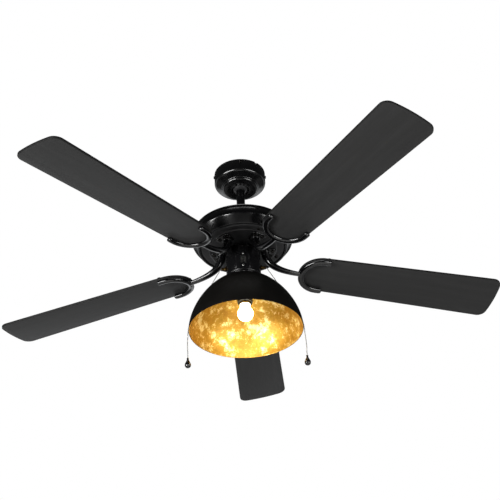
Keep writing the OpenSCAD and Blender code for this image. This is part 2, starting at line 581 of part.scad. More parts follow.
function bulb_line() = let (a = acos(14 / bulb_r)) concat(
  [[0, bulb_z - bulb_r]], arc([0, bulb_z], bulb_r, -89, a, 24),
  [[12.6, bulb_z + bulb_r + 4], [0, bulb_z + bulb_r + 4]]);
module bulb_glass() color("lightyellow") turned(bulb_line());
module bulb_cap() color("silver") {
  translate([0, 0, bulb_z + bulb_r + 4]) cylinder(r = socket_r - 0.2, h = 24);
  translate([0, 0, bulb_z + bulb_r + 28]) cylinder(r1 = 9, r2 = 4.5, h = 4);
}

// ---- Pull chains ----
function flipped(l) = [for (p = l) [-p[0], p[1], p[2]]];
module chain(path) sweep(path, [0, 1, 0], [for (p = path) chain_d / 2], [for (p = path) chain_d / 2], 8);
function shortened(l, d) = concat([l[0] + unit(l[1] - l[0]) * d], [for (i = [1:len(l) - 1]) l[i]]);
module speed_chain() color("gray") chain(reversed(flipped(chain_top)));
module light_chain() color("gray") chain(chain_top);
module speed_chain_tail() color("gray") chain(reversed(flipped(shortened(speed_tail, tail_gap))));
module light_chain_tail() color("gray") chain(shortened(light_tail, tail_gap));
module pendant(p) translate(p) turned(concat([[0, -pendant_h]],
  arc([0, -pendant_h + pendant_d / 2], pendant_d / 2, -80, 20, 12),
  [[pendant_d * 0.36, -pendant_h * 0.42], [pendant_d * 0.22, -pendant_h * 0.2],
    [2, -1.5], [1.6, 0], [0, 0]]));
module speed_pendant() color("#0c0c0c") pendant(flipped([speed_tail[len(speed_tail) - 1]])[0]);
module light_pendant() color("#0c0c0c") pendant(light_tail[len(light_tail) - 1]);

hanger_bracket();
canopy();
canopy_screws();
terminal_block();
hanger_ball();
cross_pins();
set_screws();
downrod();
coupling();
coupling_cover();
motor_top_housing();
motor_bottom_housing();
housing_screws();
motor_shaft();
stator_core();
stator_windings();
upper_bearing();
lower_bearing();
rotor_top_can();
rotor_bottom_can();
rotor_screws();
blade_iron(0);  // blade_iron_1
blade_iron(1);  // blade_iron_2
blade_iron(2);  // blade_iron_3
blade_iron(3);  // blade_iron_4
blade_iron(4);  // blade_iron_5
iron_screws();
blade(0);  // blade_1
blade(1);  // blade_2
blade(2);  // blade_3
blade(3);  // blade_4
blade(4);  // blade_5
blade_screws();
switch_plate();
shaft_nut();
switch_cup();
cup_screws();
reverse_switch();
reverse_slider();
switch_screws();
speed_switch();
light_switch();
speed_chain_guide();
light_chain_guide();
capacitor();
motor_leads();
light_fitter();
shade();
shade_nut();
lampholder();
socket_shell();
bulb_glass();
bulb_cap();
speed_chain();
speed_chain_tail();
speed_pendant();
light_chain();
light_chain_tail();
light_pendant();
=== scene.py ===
"""Looks of a five-blade ceiling fan with a pull-chain lamp in a gold-lined shade."""
import json
import math
import bmesh
import bpy
from mathutils import Matrix, Vector


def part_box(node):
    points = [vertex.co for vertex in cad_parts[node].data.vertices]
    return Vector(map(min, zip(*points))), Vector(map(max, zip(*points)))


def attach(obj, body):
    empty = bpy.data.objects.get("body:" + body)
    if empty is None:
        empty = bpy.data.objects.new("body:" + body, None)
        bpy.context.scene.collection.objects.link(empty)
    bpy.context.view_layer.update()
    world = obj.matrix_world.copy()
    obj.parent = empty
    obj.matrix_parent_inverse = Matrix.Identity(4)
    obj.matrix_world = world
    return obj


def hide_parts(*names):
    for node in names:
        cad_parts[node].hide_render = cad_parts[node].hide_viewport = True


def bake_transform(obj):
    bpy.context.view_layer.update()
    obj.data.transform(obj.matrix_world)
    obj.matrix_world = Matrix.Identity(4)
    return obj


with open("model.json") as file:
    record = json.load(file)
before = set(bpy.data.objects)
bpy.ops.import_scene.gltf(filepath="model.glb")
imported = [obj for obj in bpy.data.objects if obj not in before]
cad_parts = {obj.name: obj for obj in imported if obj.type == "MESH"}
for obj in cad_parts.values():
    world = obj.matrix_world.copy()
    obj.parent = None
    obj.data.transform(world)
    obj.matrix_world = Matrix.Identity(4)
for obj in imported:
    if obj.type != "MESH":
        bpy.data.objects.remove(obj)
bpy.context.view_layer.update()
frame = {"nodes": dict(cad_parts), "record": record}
MM = 0.001
SPIN_STEPS = 144                 # quads round a turned piece
scene = bpy.context.scene

# ---- Camera: below and in front of the fan, looking up at it ----
EYE = Vector((0, -2.15482, -1.745008))
YAW, RISE, ROLL = math.radians(0.473), math.radians(34.952), math.radians(2.68)
LENS, SENSOR = 76.56, 36         # millimetres


def add_camera():
    ahead = Vector((math.sin(YAW) * math.cos(RISE), math.cos(YAW) * math.cos(RISE), math.sin(RISE)))
    right = ahead.cross((0, 0, 1)).normalized()
    turn = Matrix.Rotation(ROLL, 3, ahead)
    right = turn @ right
    up = right.cross(ahead)
    camera = bpy.data.objects.new("camera", bpy.data.cameras.new("camera"))
    scene.collection.objects.link(camera)
    camera.matrix_world = Matrix.Translation(EYE) @ Matrix((right, up, -ahead)).transposed().to_4x4()
    camera.data.lens = LENS
    camera.data.sensor_width = SENSOR
    camera.data.clip_end = 50
    scene.camera = camera


add_camera()


# ---- Colours and nodes ----
def srgb(code):
    """A colour written as sRGB hex, as the linear values that the shaders take."""
    parts = [int(code[i:i + 2], 16) / 255 for i in (1, 3, 5)]
    return [c / 12.92 if c <= 0.04045 else ((c + 0.055) / 1.055) ** 2.4 for c in parts] + [1]


def add(tree, kind, settings=None, inputs=None):
    """Adds a node with its settings; an input takes a value, or a link from another node's output."""
    node = tree.nodes.new("ShaderNode" + kind)
    for name, value in (settings or {}).items():
        setattr(node, name, value)
    for name, value in (inputs or {}).items():
        if isinstance(value, bpy.types.NodeSocket):
            tree.links.new(value, node.inputs[name])
        else:
            node.inputs[name].default_value = value
    return node


def per_mm(size):
    """Pattern scale on coordinates in metres, from the size of one feature in millimetres."""
    return 1 / (size * MM)


def begin(name, **sockets):
    """A material with one Principled shader; sockets are set on the shader itself."""
    mat = bpy.data.materials.new(name)
    mat.use_nodes = True
    tree = mat.node_tree
    shader = tree.nodes["Principled BSDF"]
    for key, value in sockets.items():
        shader.inputs[key.replace("_", " ")].default_value = value
    return mat, tree, shader


def ramp(tree, factor, stops):
    """A colour ramp from (position, sRGB hex) stops."""
    node = add(tree, "ValToRGB", inputs={"Fac": factor})
    while len(node.color_ramp.elements) < len(stops):
        node.color_ramp.elements.new(1)
    for element, (place, code) in zip(node.color_ramp.elements, stops):
        element.position = place
        element.color = srgb(code)
    return node.outputs["Color"]


DARK_END, LIGHT_END = 0.3, 0.7   # the span of values that a noise pattern mostly keeps to


def tones(dark, light):
    """Colour stops from the dark end of a noise pattern to its light end."""
    return [(DARK_END, dark), (LIGHT_END, light)]


def spread(tree, factor, low, high):
    """Maps the span of a noise pattern onto low to high."""
    inputs = {"Value": factor, "From Min": DARK_END, "From Max": LIGHT_END, "To Min": low, "To Max": high}
    return add(tree, "MapRange", inputs=inputs).outputs["Result"]


def coords(tree, stretch=(1, 1, 1), uv=False):
    """Object coordinates in metres, or the piece's own map, with a stretch for each axis."""
    source = add(tree, "TexCoord").outputs["UV" if uv else "Object"]
    return add(tree, "Mapping", inputs={"Vector": source, "Scale": stretch}).outputs["Vector"]


def noise(tree, vector, size, detail=3.0, roughness=0.5):
    inputs = {"Vector": vector, "Scale": per_mm(size), "Detail": detail, "Roughness": roughness}
    return add(tree, "TexNoise", inputs=inputs).outputs["Fac"]


def bump(tree, shader, height, depth, strength=1.0):
    """Raises the surface by depth millimetres where height is 1."""
    inputs = {"Height": height, "Distance": depth * MM, "Strength": strength}
    tree.links.new(add(tree, "Bump", inputs=inputs).outputs["Normal"], shader.inputs["Normal"])


def coated(name, stops, rough, cloud, grain, depth, stretch=(1, 1, 1), uv=False, **sockets):
    """A finish with cloudy colour and gloss, and a fine texture: sizes and depth in millimetres."""
    mat, tree, shader = begin(name, **sockets)
    where = coords(tree, stretch, uv)
    clouds = noise(tree, where, cloud)
    tree.links.new(ramp(tree, clouds, stops), shader.inputs["Base Color"])
    tree.links.new(spread(tree, noise(tree, where, cloud / 4), *rough), shader.inputs["Roughness"])
    bump(tree, shader, noise(tree, where, grain, 2), depth)
    return mat


# ---- Materials, each named for what the real finish is ----
def enamel_on_steel():
    """Black enamel, sprayed and baked: a deep gloss with the faint ripple of orange peel."""
    return coated("black_enamel_sprayed", tones("#050506", "#0a0a0b"), (0.2, 0.27), cloud=90, grain=14,
                  depth=0.0015, Coat_Weight=0.4, Coat_Roughness=0.14, Specular_IOR_Level=0.4)


def enamel_on_casting():
    """Gloss black enamel over a sand casting: softer ripple, and gloss that comes and goes."""
    return coated("gloss_enamel_on_cast_iron", tones("#040405", "#09090a"), (0.16, 0.23), cloud=40, grain=12,
                  depth=0.005, Coat_Weight=0.6, Coat_Roughness=0.08)


def charcoal_foil():
    """Blade board faced in charcoal foil: pressed grain that runs along the blade, nearly matt."""
    mat, tree, shader = begin("charcoal_foil_pressed_grain", Specular_IOR_Level=0.35, Sheen_Weight=0.04)
    along = coords(tree, (0.06, 1, 1), uv=True)
    figure = coords(tree, (0.12, 1, 1), uv=True)
    bend = add(tree, "TexNoise", inputs={"Vector": figure, "Scale": per_mm(55), "Detail": 2})
    flow = add(tree, "VectorMath", {"operation": "MULTIPLY_ADD"},
               {0: bend.outputs["Color"], 1: (0, 0.03, 0), 2: along})
    pores = noise(tree, flow.outputs["Vector"], 1.6, 4, 0.6)
    bands = noise(tree, flow.outputs["Vector"], 16, 3, 0.55)
    blend = add(tree, "Mix", {"data_type": "FLOAT"}, {"Factor": 0.35, "A": bands, "B": pores})
    tone = ramp(tree, blend.outputs["Result"], [(0.3, "#1b1b1b"), (0.5, "#202020"), (0.7, "#262626")])
    tree.links.new(tone, shader.inputs["Base Color"])
    tree.links.new(spread(tree, pores, 0.5, 0.6), shader.inputs["Roughness"])
    bump(tree, shader, pores, 0.03)
    return mat


def edge_band():
    """Black ABS strip glued round the board's edge: plain, with a soft gloss."""
    return coated("black_abs_edge_band", tones("#060606", "#0d0d0d"), (0.55, 0.65), cloud=30, grain=0.8,
                  depth=0.01, Specular_IOR_Level=0.3)


def shade_lacquer():
    """Matt black lacquer, sprayed dry over spun metal: fine tooth, slightly warm."""
    return coated("matt_lacquer_on_spun_metal", tones("#060504", "#0a0907"), (0.5, 0.6), cloud=45, grain=0.9,
                  depth=0.03, Specular_IOR_Level=0.12)


LEAF = 42.0          # a leaf's side, in millimetres, after the sheets are torn and lapped
FLAKE = 30.0         # typical size of a bright flake of leaf over the duller size under it


def gold_leaf():
    """Imitation gold leaf laid in torn squares: lapped seams, and ragged bright flakes over duller gold."""
    mat, tree, shader = begin("gold_leaf_laid_and_sealed", Metallic=0.75, Coat_Weight=0.2, Coat_Roughness=0.3)
    where = coords(tree)
    wander = add(tree, "TexNoise", inputs={"Vector": where, "Scale": per_mm(14), "Detail": 3})
    torn = add(tree, "VectorMath", {"operation": "MULTIPLY_ADD"},
               {0: wander.outputs["Color"], 1: (0.012, 0.012, 0.012), 2: where}).outputs["Vector"]
    sheets = add(tree, "TexVoronoi", {"feature": "F1", "distance": "CHEBYCHEV"},
                 {"Vector": torn, "Scale": per_mm(LEAF), "Randomness": 0.7})
    flakes = noise(tree, where, FLAKE, 14, 0.82)
    tone = ramp(tree, flakes, [(0.4, "#ad8128"), (0.5, "#c29634"), (0.53, "#cfa642"), (0.55, "#f5e294"),
                               (0.66, "#fff8d2")])
    sheet_tone = add(tree, "SeparateColor", inputs={"Color": sheets.outputs["Color"]}).outputs["Red"]
    sheet_tint = ramp(tree, sheet_tone, [(0.1, "#e6c078"), (0.9, "#ffffff")])
    shift = add(tree, "Mix", {"data_type": "RGBA", "blend_type": "MULTIPLY"},
                {"Factor": 0.35, "A": tone, "B": sheet_tint})
    tree.links.new(shift.outputs["Result"], shader.inputs["Base Color"])
    tree.links.new(spread(tree, flakes, 0.46, 0.34), shader.inputs["Roughness"])
    bump(tree, shader, noise(tree, where, 9, 5, 0.65), 0.9)
    return mat


GLOW = 24.0          # brightness of the lit opal glass at its middle


def opal_glass():
    """Opal lamp glass with the lamp on: white at its middle, and a soft warm fall towards its rim."""
    mat, tree, shader = begin("opal_glass_lit", Base_Color=srgb("#fff6e0"), Roughness=0.25, IOR=1.5)
    edge = add(tree, "LayerWeight", inputs={"Blend": 0.5}).outputs["Facing"]
    glow = ramp(tree, edge, [(0.0, "#ffffff"), (0.4, "#fff6dc"), (0.75, "#b89c62"), (1.0, "#5a4420")])
    mottle = spread(tree, noise(tree, coords(tree), 8), 0.96, 1.0)
    even = add(tree, "Mix", {"data_type": "RGBA", "blend_type": "MULTIPLY"},
               {"Factor": 1.0, "A": glow, "B": mottle})
    tree.links.new(even.outputs["Result"], shader.inputs["Emission Color"])
    shader.inputs["Emission Strength"].default_value = GLOW
    return mat


def metal(name, stops, rough, **rest):
    """A bare or plated metal: the same clouds and texture as a coated finish."""
    return coated(name, stops, rough, Metallic=1.0, **rest)


MATERIALS = {
    "black_enamel": enamel_on_steel(),
    "gloss_black_iron": enamel_on_casting(),
    "blade_board": charcoal_foil(),
    "shade_metal": shade_lacquer(),
    "lamp_glass": opal_glass(),
    # zinc plate: pale, with the broad soft clouds of the plating bath
    "zinc_steel": metal("zinc_plated_steel", tones("#a5a6a4", "#c6c7c4"), (0.45, 0.58),
                        cloud=25, grain=1.5, depth=0.01),
    # screws blackened in an oxide bath: dull brown-black with a little oil sheen
    "black_screws": metal("black_oxide_steel", tones("#1b1a19", "#2c2a28"), (0.3, 0.42),
                          cloud=4, grain=0.5, depth=0.01),
    # small zinc-plated screws: grey and bright, clouded from one to the next
    "bright_screws": metal("zinc_plated_screws", tones("#8f8f8c", "#b5b5b1"), (0.25, 0.38),
                           cloud=5, grain=0.5, depth=0.01),
    # turned steel: fine rings left by the tool, which run round the axis
    "machined_steel": metal("turned_steel", tones("#8b8b89", "#a9a9a6"), (0.22, 0.34),
                            cloud=30, grain=0.4, depth=0.01, stretch=(0.2, 0.2, 1)),
    # die-cast aluminium under thin dark paint: slightly lumpy
    "cast_aluminium": coated("painted_die_casting", tones("#1c1c1d", "#29292a"), (0.42, 0.56),
                             cloud=30, grain=1.4, depth=0.04, Metallic=0.2),
    # stacked laminations: hair-thin layers one over another
    "core_steel": metal("lamination_stack", tones("#45474a", "#5e6063"), (0.35, 0.5),
                        cloud=12, grain=0.5, depth=0.03, stretch=(0.05, 0.05, 1)),
    # copper wire under clear enamel: many turns side by side
    "copper_wire": metal("enamelled_copper_turns", tones("#8a3f18", "#c4703a"), (0.2, 0.32),
                         cloud=6, grain=0.8, depth=0.1, stretch=(0.15, 0.15, 1), Coat_Weight=0.4),
    # nylon straight from the mould: even, with a waxy surface
    "ball_nylon": coated("moulded_black_nylon", tones("#1d1d1e", "#262627"), (0.4, 0.52),
                         cloud=20, grain=0.7, depth=0.02),
    "white_nylon": coated("moulded_white_nylon", tones("#dedad0", "#ece9e0"), (0.35, 0.48),
                          cloud=20, grain=0.7, depth=0.02),
    # paper-filled phenolic: brown, speckled by its filler
    "brown_phenolic": coated("moulded_phenolic", tones("#32190f", "#512b1a"), (0.32, 0.45),
                             cloud=2, grain=0.6, depth=0.02),
    # black plastic from a fine-textured mould
    "black_plastic": coated("moulded_black_plastic", tones("#101010", "#191919"), (0.35, 0.48),
                            cloud=18, grain=0.6, depth=0.02),
    # brass gone brown with handling, brighter where the lacquer holds
    "aged_brass": metal("brass_browned", [(0.3, "#2f2210"), (0.55, "#5a4524"), (0.72, "#a08048")],
                        (0.24, 0.42), cloud=5, grain=0.7, depth=0.02),
    # rolled aluminium: pale, slightly yellow, with the thread's gloss
    "cap_metal": metal("rolled_aluminium_cap", tones("#b3b0a6", "#cfccc3"), (0.28, 0.4),
                       cloud=8, grain=0.6, depth=0.01),
    # nickel plate on small steel beads: grey, with a dull bloom in places
    "chain_steel": metal("nickel_plated_beads", tones("#7d7b76", "#a5a39d"), (0.2, 0.36),
                         cloud=6, grain=0.6, depth=0.01),
    # turned beech sealed in black lacquer: wet-looking, with a slow ripple
    "pendant_gloss": coated("black_lacquer_on_turned_wood", tones("#060606", "#0d0d0d"), (0.08, 0.14),
                            cloud=12, grain=3.5, depth=0.03, Coat_Weight=0.8, Coat_Roughness=0.04),
    # soft white insulation with a faint drag along the wire
    "lead_pvc": coated("pvc_insulation", tones("#d2cfc5", "#e2dfd6"), (0.35, 0.45),
                       cloud=15, grain=0.8, depth=0.01),
}
EDGE_BAND = edge_band()
GOLD_LEAF = gold_leaf()
for part in frame["record"]["subparts"]:
    mesh = frame["nodes"][part["node"]].data
    mesh.materials.clear()
    mesh.materials.append(MATERIALS[part["material_slot"]])


# ---- Mesh tools: sizes in millimetres ----
def rounded(outline, steps=10):
    """Turns each corner of an outline of (radius, height, corner radius) points into an arc."""
    points = []
    for i, (r, z, bend) in enumerate(outline):
        here = Vector((r, z))
        if not bend or i in (0, len(outline) - 1):
            points.append(here)
            continue
        back = (Vector(outline[i - 1][:2]) - here).normalized()
        on = (Vector(outline[i + 1][:2]) - here).normalized()
        half = back.angle(on) / 2
        centre = here + (back + on).normalized() * bend / math.sin(half)
        first = here + back * bend / math.tan(half) - centre
        last = here + on * bend / math.tan(half) - centre
        turn = first.angle(last)
        for k in range(steps + 1):
            t = k / steps
            along = first * math.sin((1 - t) * turn) + last * math.sin(t * turn)
            points.append(centre + along / math.sin(turn))
    return points


def arc(centre, radius, first, last, steps):
    """Points on a circle, from one angle to another in degrees."""
    angles = [math.radians(first + (last - first) * k / steps) for k in range(steps + 1)]
    return [Vector((centre[0] + radius * math.cos(a), centre[1] + radius * math.sin(a))) for a in angles]


def turned(points, closed=False, steps=SPIN_STEPS):
    """Spins an outline of (radius, height) points about the fan's axis."""
    bm = bmesh.new()
    verts = [bm.verts.new((p[0] * MM, 0, p[1] * MM)) for p in points]
    for a, b in zip(verts, verts[1:] + (verts[:1] if closed else [])):
        if a is not b:
            bm.edges.new((a, b))
    bmesh.ops.spin(bm, geom=bm.verts[:] + bm.edges[:], cent=(0, 0, 0), axis=(0, 0, 1), angle=math.tau,
                   steps=steps, use_merge=True)
    bmesh.ops.remove_doubles(bm, verts=bm.verts[:], dist=0.002 * MM)
    bmesh.ops.dissolve_degenerate(bm, edges=bm.edges[:], dist=0.001 * MM)
    bmesh.ops.recalc_face_normals(bm, faces=bm.faces[:])
    return bm


def sweep(bm, rings, sides=20):
    """Draws a tube through matrices that each hold a ring's place, half-widths and heading."""
    verts = bmesh.ops.create_circle(bm, radius=1, segments=sides, matrix=rings[0])["verts"]
    edges = list({e for v in verts for e in v.link_edges})
    bmesh.ops.edgeloop_fill(bm, edges=edges)
    for back, on in zip(rings, rings[1:]):
        grown = bmesh.ops.extrude_edge_only(bm, edges=edges)["geom"]
        verts = {g for g in grown if isinstance(g, bmesh.types.BMVert)}
        edges = list({e for v in verts for e in v.link_edges if set(e.verts) <= verts})
        bmesh.ops.transform(bm, matrix=on @ back.inverted(), verts=list(verts))
    bmesh.ops.edgeloop_fill(bm, edges=edges)


def ring(place, side, heading, across, along):
    """Matrix of an elliptical ring: along its side vector, and across it and its heading."""
    other = side.cross(heading).normalized()
    columns = (other * across * MM, side * along * MM, heading.normalized() * MM)
    return Matrix.Translation(place * MM) @ Matrix(columns).transposed().to_4x4()


def slab(bm, outline, low, high):
    """A flat plate with the given outline of (x, y) points, between two heights."""
    face = bm.faces.new([bm.verts.new((p[0] * MM, p[1] * MM, low * MM)) for p in outline])
    grown = bmesh.ops.extrude_face_region(bm, geom=[face])["geom"]
    verts = [g for g in grown if isinstance(g, bmesh.types.BMVert)]
    bmesh.ops.translate(bm, verts=verts, vec=(0, 0, (high - low) * MM))


def bevel_edges(bm, edges, width, segments=3):
    bmesh.ops.bevel(bm, geom=edges, offset=width * MM, offset_type="OFFSET", affect="EDGES",
                    segments=segments, profile=0.5, material=-1, clamp_overlap=True)


def settle(obj):
    """Applies a piece's modifiers to its mesh."""
    mesh = bpy.data.meshes.new_from_object(obj.evaluated_get(bpy.context.evaluated_depsgraph_get()))
    obj.modifiers.clear()
    obj.data = mesh


def finish_shading(mesh, sharp=38):
    for face in mesh.polygons:
        face.use_smooth = True
    mesh.set_sharp_from_angle(angle=math.radians(sharp))


def piece(name, bm, slot, body=None, stands_for=(), wall=0, inner=None, lip=0.25, cuts=None, sharp=38):
    """Makes a finished piece of a mesh; wall is the thickness that a sheet is given, inwards."""
    mesh = bpy.data.meshes.new(name)
    bm.to_mesh(mesh)
    bm.free()
    obj = bpy.data.objects.new(name, mesh)
    scene.collection.objects.link(obj)
    mesh.materials.append(MATERIALS[slot])
    if inner:
        mesh.materials.append(inner)
    if wall:
        skin = obj.modifiers.new("wall", "SOLIDIFY")
        skin.thickness = wall * MM
        skin.offset = -1
        skin.material_offset = 1 if inner else 0
        skin.material_offset_rim = 0
        edge = obj.modifiers.new("edge", "BEVEL")
        edge.width = lip * MM
        edge.segments = 2
        edge.limit_method = "ANGLE"
        edge.angle_limit = math.radians(50)
        settle(obj)
    if cuts:
        tool_mesh = bpy.data.meshes.new("tool")
        cuts.to_mesh(tool_mesh)
        cuts.free()
        tool = bpy.data.objects.new("tool", tool_mesh)
        scene.collection.objects.link(tool)
        carve = obj.modifiers.new("cut", "BOOLEAN")
        carve.operation = "DIFFERENCE"
        carve.solver = "EXACT"
        carve.object = tool
        settle(obj)
        bpy.data.objects.remove(tool)
    finish_shading(obj.data, sharp)
    if stands_for:
        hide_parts(*stands_for)
    if body:
        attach(obj, body)
    return obj


def spot(azimuth, radius, height, tilt=0.0):
    """Matrix of a place on the fan, facing outwards; tilt turns it down from level, in degrees."""
    return (Matrix.Rotation(math.radians(azimuth), 4, "Z") @ Matrix.Translation((radius * MM, 0, height * MM))
            @ Matrix.Rotation(math.radians(90 + tilt), 4, "Y"))


def drill(bm, where, diameter, length):
    """Adds a round bar, centred on its place."""
    bmesh.ops.create_cone(bm, cap_ends=True, segments=32, radius1=diameter / 2 * MM,
                          radius2=diameter / 2 * MM, depth=length * MM, matrix=where)


def block(bm, where, size):
    """Adds a box, centred on its place."""
    bmesh.ops.create_cube(bm, size=MM, matrix=where @ Matrix.Diagonal((*size, 1)))


def low(node):
    """Lower corner of a CAD node's box, in millimetres."""
    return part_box(node)[0] / MM


def high(node):
    """Upper corner of a CAD node's box, in millimetres."""
    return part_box(node)[1] / MM


# ---- Pull chains: the same points as the model's routes, in metres ----
CHAIN_D = 0.0024
CHAIN_TOP = [(0.054, 0, -0.2935), (0.057, 0, -0.295), (0.061, 0.001, -0.302), (0.070, 0.002, -0.318),
             (0.080, 0.003, -0.336), (0.092, 0.004, -0.358), (0.104, 0.005, -0.380), (0.117, 0.006, -0.401),
             (0.1255, 0.007, -0.418), (0.132, 0.008, -0.435), (0.136, 0.009, -0.452), (0.1375, 0.009, -0.467)]
LIGHT_TAIL = [(0.138, 0.009, -0.480), (0.139, 0.009, -0.496), (0.1395, 0.009, -0.512),
              (0.139, 0.009, -0.526), (0.139, 0.009, -0.536)]
SPEED_TAIL = [(0.138, 0.009, -0.480), (0.1385, 0.009, -0.492), (0.1385, 0.009, -0.506),
              (0.138, 0.009, -0.518), (0.138, 0.009, -0.530)]
BEAD_PITCH = 0.0031
LINK_R = 0.17 * CHAIN_D          # of the wire between two beads


def evenly(points, step):
    """Points a step apart along a smooth curve through the given ones."""
    fine = []
    ends = [2 * points[0] - points[1]] + points + [2 * points[-1] - points[-2]]
    for p0, p1, p2, p3 in zip(ends, ends[1:], ends[2:], ends[3:]):
        for k in range(24):
            t = k / 24
            fine.append(0.5 * (2 * p1 + (p2 - p0) * t + (2 * p0 - 5 * p1 + 4 * p2 - p3) * t * t
                               + (3 * p1 - p0 - 3 * p2 + p3) * t ** 3))
    fine.append(points[-1])
    length = sum((b - a).length for a, b in zip(fine, fine[1:]))
    count = round(length / step)
    out, gone, target = [fine[0]], 0.0, length / count
    for a, b in zip(fine, fine[1:]):
        stretch = (b - a).length
        while gone + stretch >= target * len(out) and len(out) < count:
            out.append(a.lerp(b, (target * len(out) - gone) / stretch))
        gone += stretch
    return out + [fine[-1]], length


def add_chain(side, name, tail, body):
    """A bead chain: hollow beads on short wire links, from its guide to its pendant."""
    route = [Vector((side * x, y, z)) for x, y, z in CHAIN_TOP + tail]
    places, length = evenly(route, BEAD_PITCH)
    bm = bmesh.new()
    for a, b in zip(places, places[1:]):
        turn = (b - a).to_track_quat("Z", "Y").to_matrix().to_4x4()
        bmesh.ops.create_uvsphere(bm, u_segments=12, v_segments=8, radius=CHAIN_D / 2,
                                  matrix=Matrix.Translation(a) @ turn)
        bmesh.ops.create_cone(bm, cap_ends=True, segments=6, radius1=LINK_R, radius2=LINK_R,
                              depth=(b - a).length, matrix=Matrix.Translation((a + b) / 2) @ turn)
    replaced = (name + "_chain", name + "_chain_tail")
    chain = piece(name + "_chain_beads", bm, "chain_steel", None, replaced, sharp=60)
    end = route[-1]
    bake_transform(chain)
    at = Matrix.Translation(end)
    drop = turned(rounded([(0, -27, 0), (7.25, -27, 7.2), (7.25, -17, 9), (2.5, -6.4, 7), (2.3, -1.6, 0.8),
                           (0, -1.6, 0)]), steps=48)
    bmesh.ops.transform(drop, matrix=at, verts=drop.verts[:])
    pendant = piece(name + "_pendant_pear", drop, "pendant_gloss", body, (name + "_pendant",))
    cap = turned(rounded([(0, -2.6, 0), (2.6, -2.6, 0.3), (2.6, -1.3, 0.5), (1.5, 0.1, 0.8), (0, 0.1, 0)]),
                 steps=32)
    bmesh.ops.transform(cap, matrix=at, verts=cap.verts[:])
    ferrule = piece(name + "_pendant_ferrule", cap, "chain_steel", body)


add_chain(-1, "speed", SPEED_TAIL, "speed_pull")
add_chain(1, "light", LIGHT_TAIL, "light_pull")


# ---- Ceiling mount ----
CEILING_GAP = 0.3
NOTCH_AZIMUTH = -49
THIN_SHEET, HOUSING_SHEET, CUP_SHEET = 1.2, 1.3, 1.5
CANOPY_HOLES, HOLE_RING_R, HOLE_AZIMUTH = 6, 30, 14
ROD_HOLE_R = 22.5
DOWN = Matrix.Rotation(math.radians(90), 4, "Y")      # turns a place's facing from outwards to downwards


def add_canopy():
    radius, floor = high("canopy").x, low("canopy").z
    outline = [(radius, -CEILING_GAP, 0), (radius, -33.8, 9), (radius - 18.8, floor + 8.5, 3),
               (radius - 20.3, floor, 8), (ROD_HOLE_R, floor, 0)]
    cuts = bmesh.new()
    for k in range(CANOPY_HOLES):
        drill(cuts, spot(HOLE_AZIMUTH + 360 / CANOPY_HOLES * k, HOLE_RING_R, floor) @ DOWN, 5, 14)
    for k in range(2):
        block(cuts, spot(NOTCH_AZIMUTH + 180 * k, radius, -3), (10, 7, 10))
    piece("canopy_bell", turned(rounded(outline)), "black_enamel", "ceiling_mount", ("canopy",),
          wall=THIN_SHEET, cuts=cuts)


add_canopy()


# ---- Hanger: coupling cover, motor housing, switch cup and lamp ----
def add_housing():
    """The coupling's dome cover and the motor housing's two shells, with the ring that joins the shells."""
    roof, rim = high("motor_top_housing").z, high("motor_bottom_housing").x
    rod = high("downrod").x
    cover = [(37, roof, 0), (37, roof + 52, 20), (rod + 0.3, roof + 52.4, 0)]
    piece("coupling_dome", turned(rounded(cover, 16)), "black_enamel", "hanger", ("coupling_cover",),
          wall=THIN_SHEET)
    seam = roof - 33
    top = [(20, roof, 0), (66.8, roof, 30), (rim - 2.5, roof - 23.4, 7), (rim - 2.5, seam, 0)]
    piece("motor_housing_upper", turned(rounded(top, 14)), "black_enamel", "hanger", ("motor_top_housing",),
          wall=HOUSING_SHEET)
    floor = low("motor_bottom_housing").z
    opening = rim - 20
    drum = [(rim - 2, seam - 0.3, 0), (rim + 0.7, seam - 16, 12), (opening, floor - 6, 3),
            (opening, floor + 9, 0)]
    cuts = bmesh.new()
    for k in range(4):
        drill(cuts, spot(25 + 90 * k, rim - 11, floor) @ DOWN, 4, 24)
    piece("motor_housing_lower", turned(rounded(drum, 14)), "black_enamel", "hanger",
          ("motor_bottom_housing",), wall=HOUSING_SHEET, cuts=cuts)
    spigot = [(rim - 2.6, seam - 4, 0), (rim - 4, seam - 4, 0), (rim - 4, seam + 5, 0),
              (rim - 3.95, seam + 5, 0), (rim - 3.95, seam - 0.4, 0), (rim - 2.6, seam - 0.4, 0)]
    piece("motor_housing_spigot", turned(rounded(spigot), closed=True), "black_enamel", "hanger")


add_housing()


def add_switch_cup():
    """The cup under the motor, with a window for the reversing switch and a hole for each chain guide."""
    radius, top, floor = high("switch_cup").x, high("switch_cup").z, low("switch_cup").z
    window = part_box("reverse_slider")
    middle = (window[0].z + window[1].z) / 2 / MM + 4
    outline = [(radius - 1.5, top, 0), (radius, top, 1.2), (radius, floor, 0)]
    cuts = bmesh.new()
    block(cuts, spot(-90, radius, middle), (21, 14, 8))
    for side in (0, 180):
        drill(cuts, spot(side, radius, middle), 10, 12)
    piece("switch_cup_shell", turned(rounded(outline, 4)), "black_enamel", "hanger", ("switch_cup",),
          wall=CUP_SHEET, cuts=cuts)


add_switch_cup()


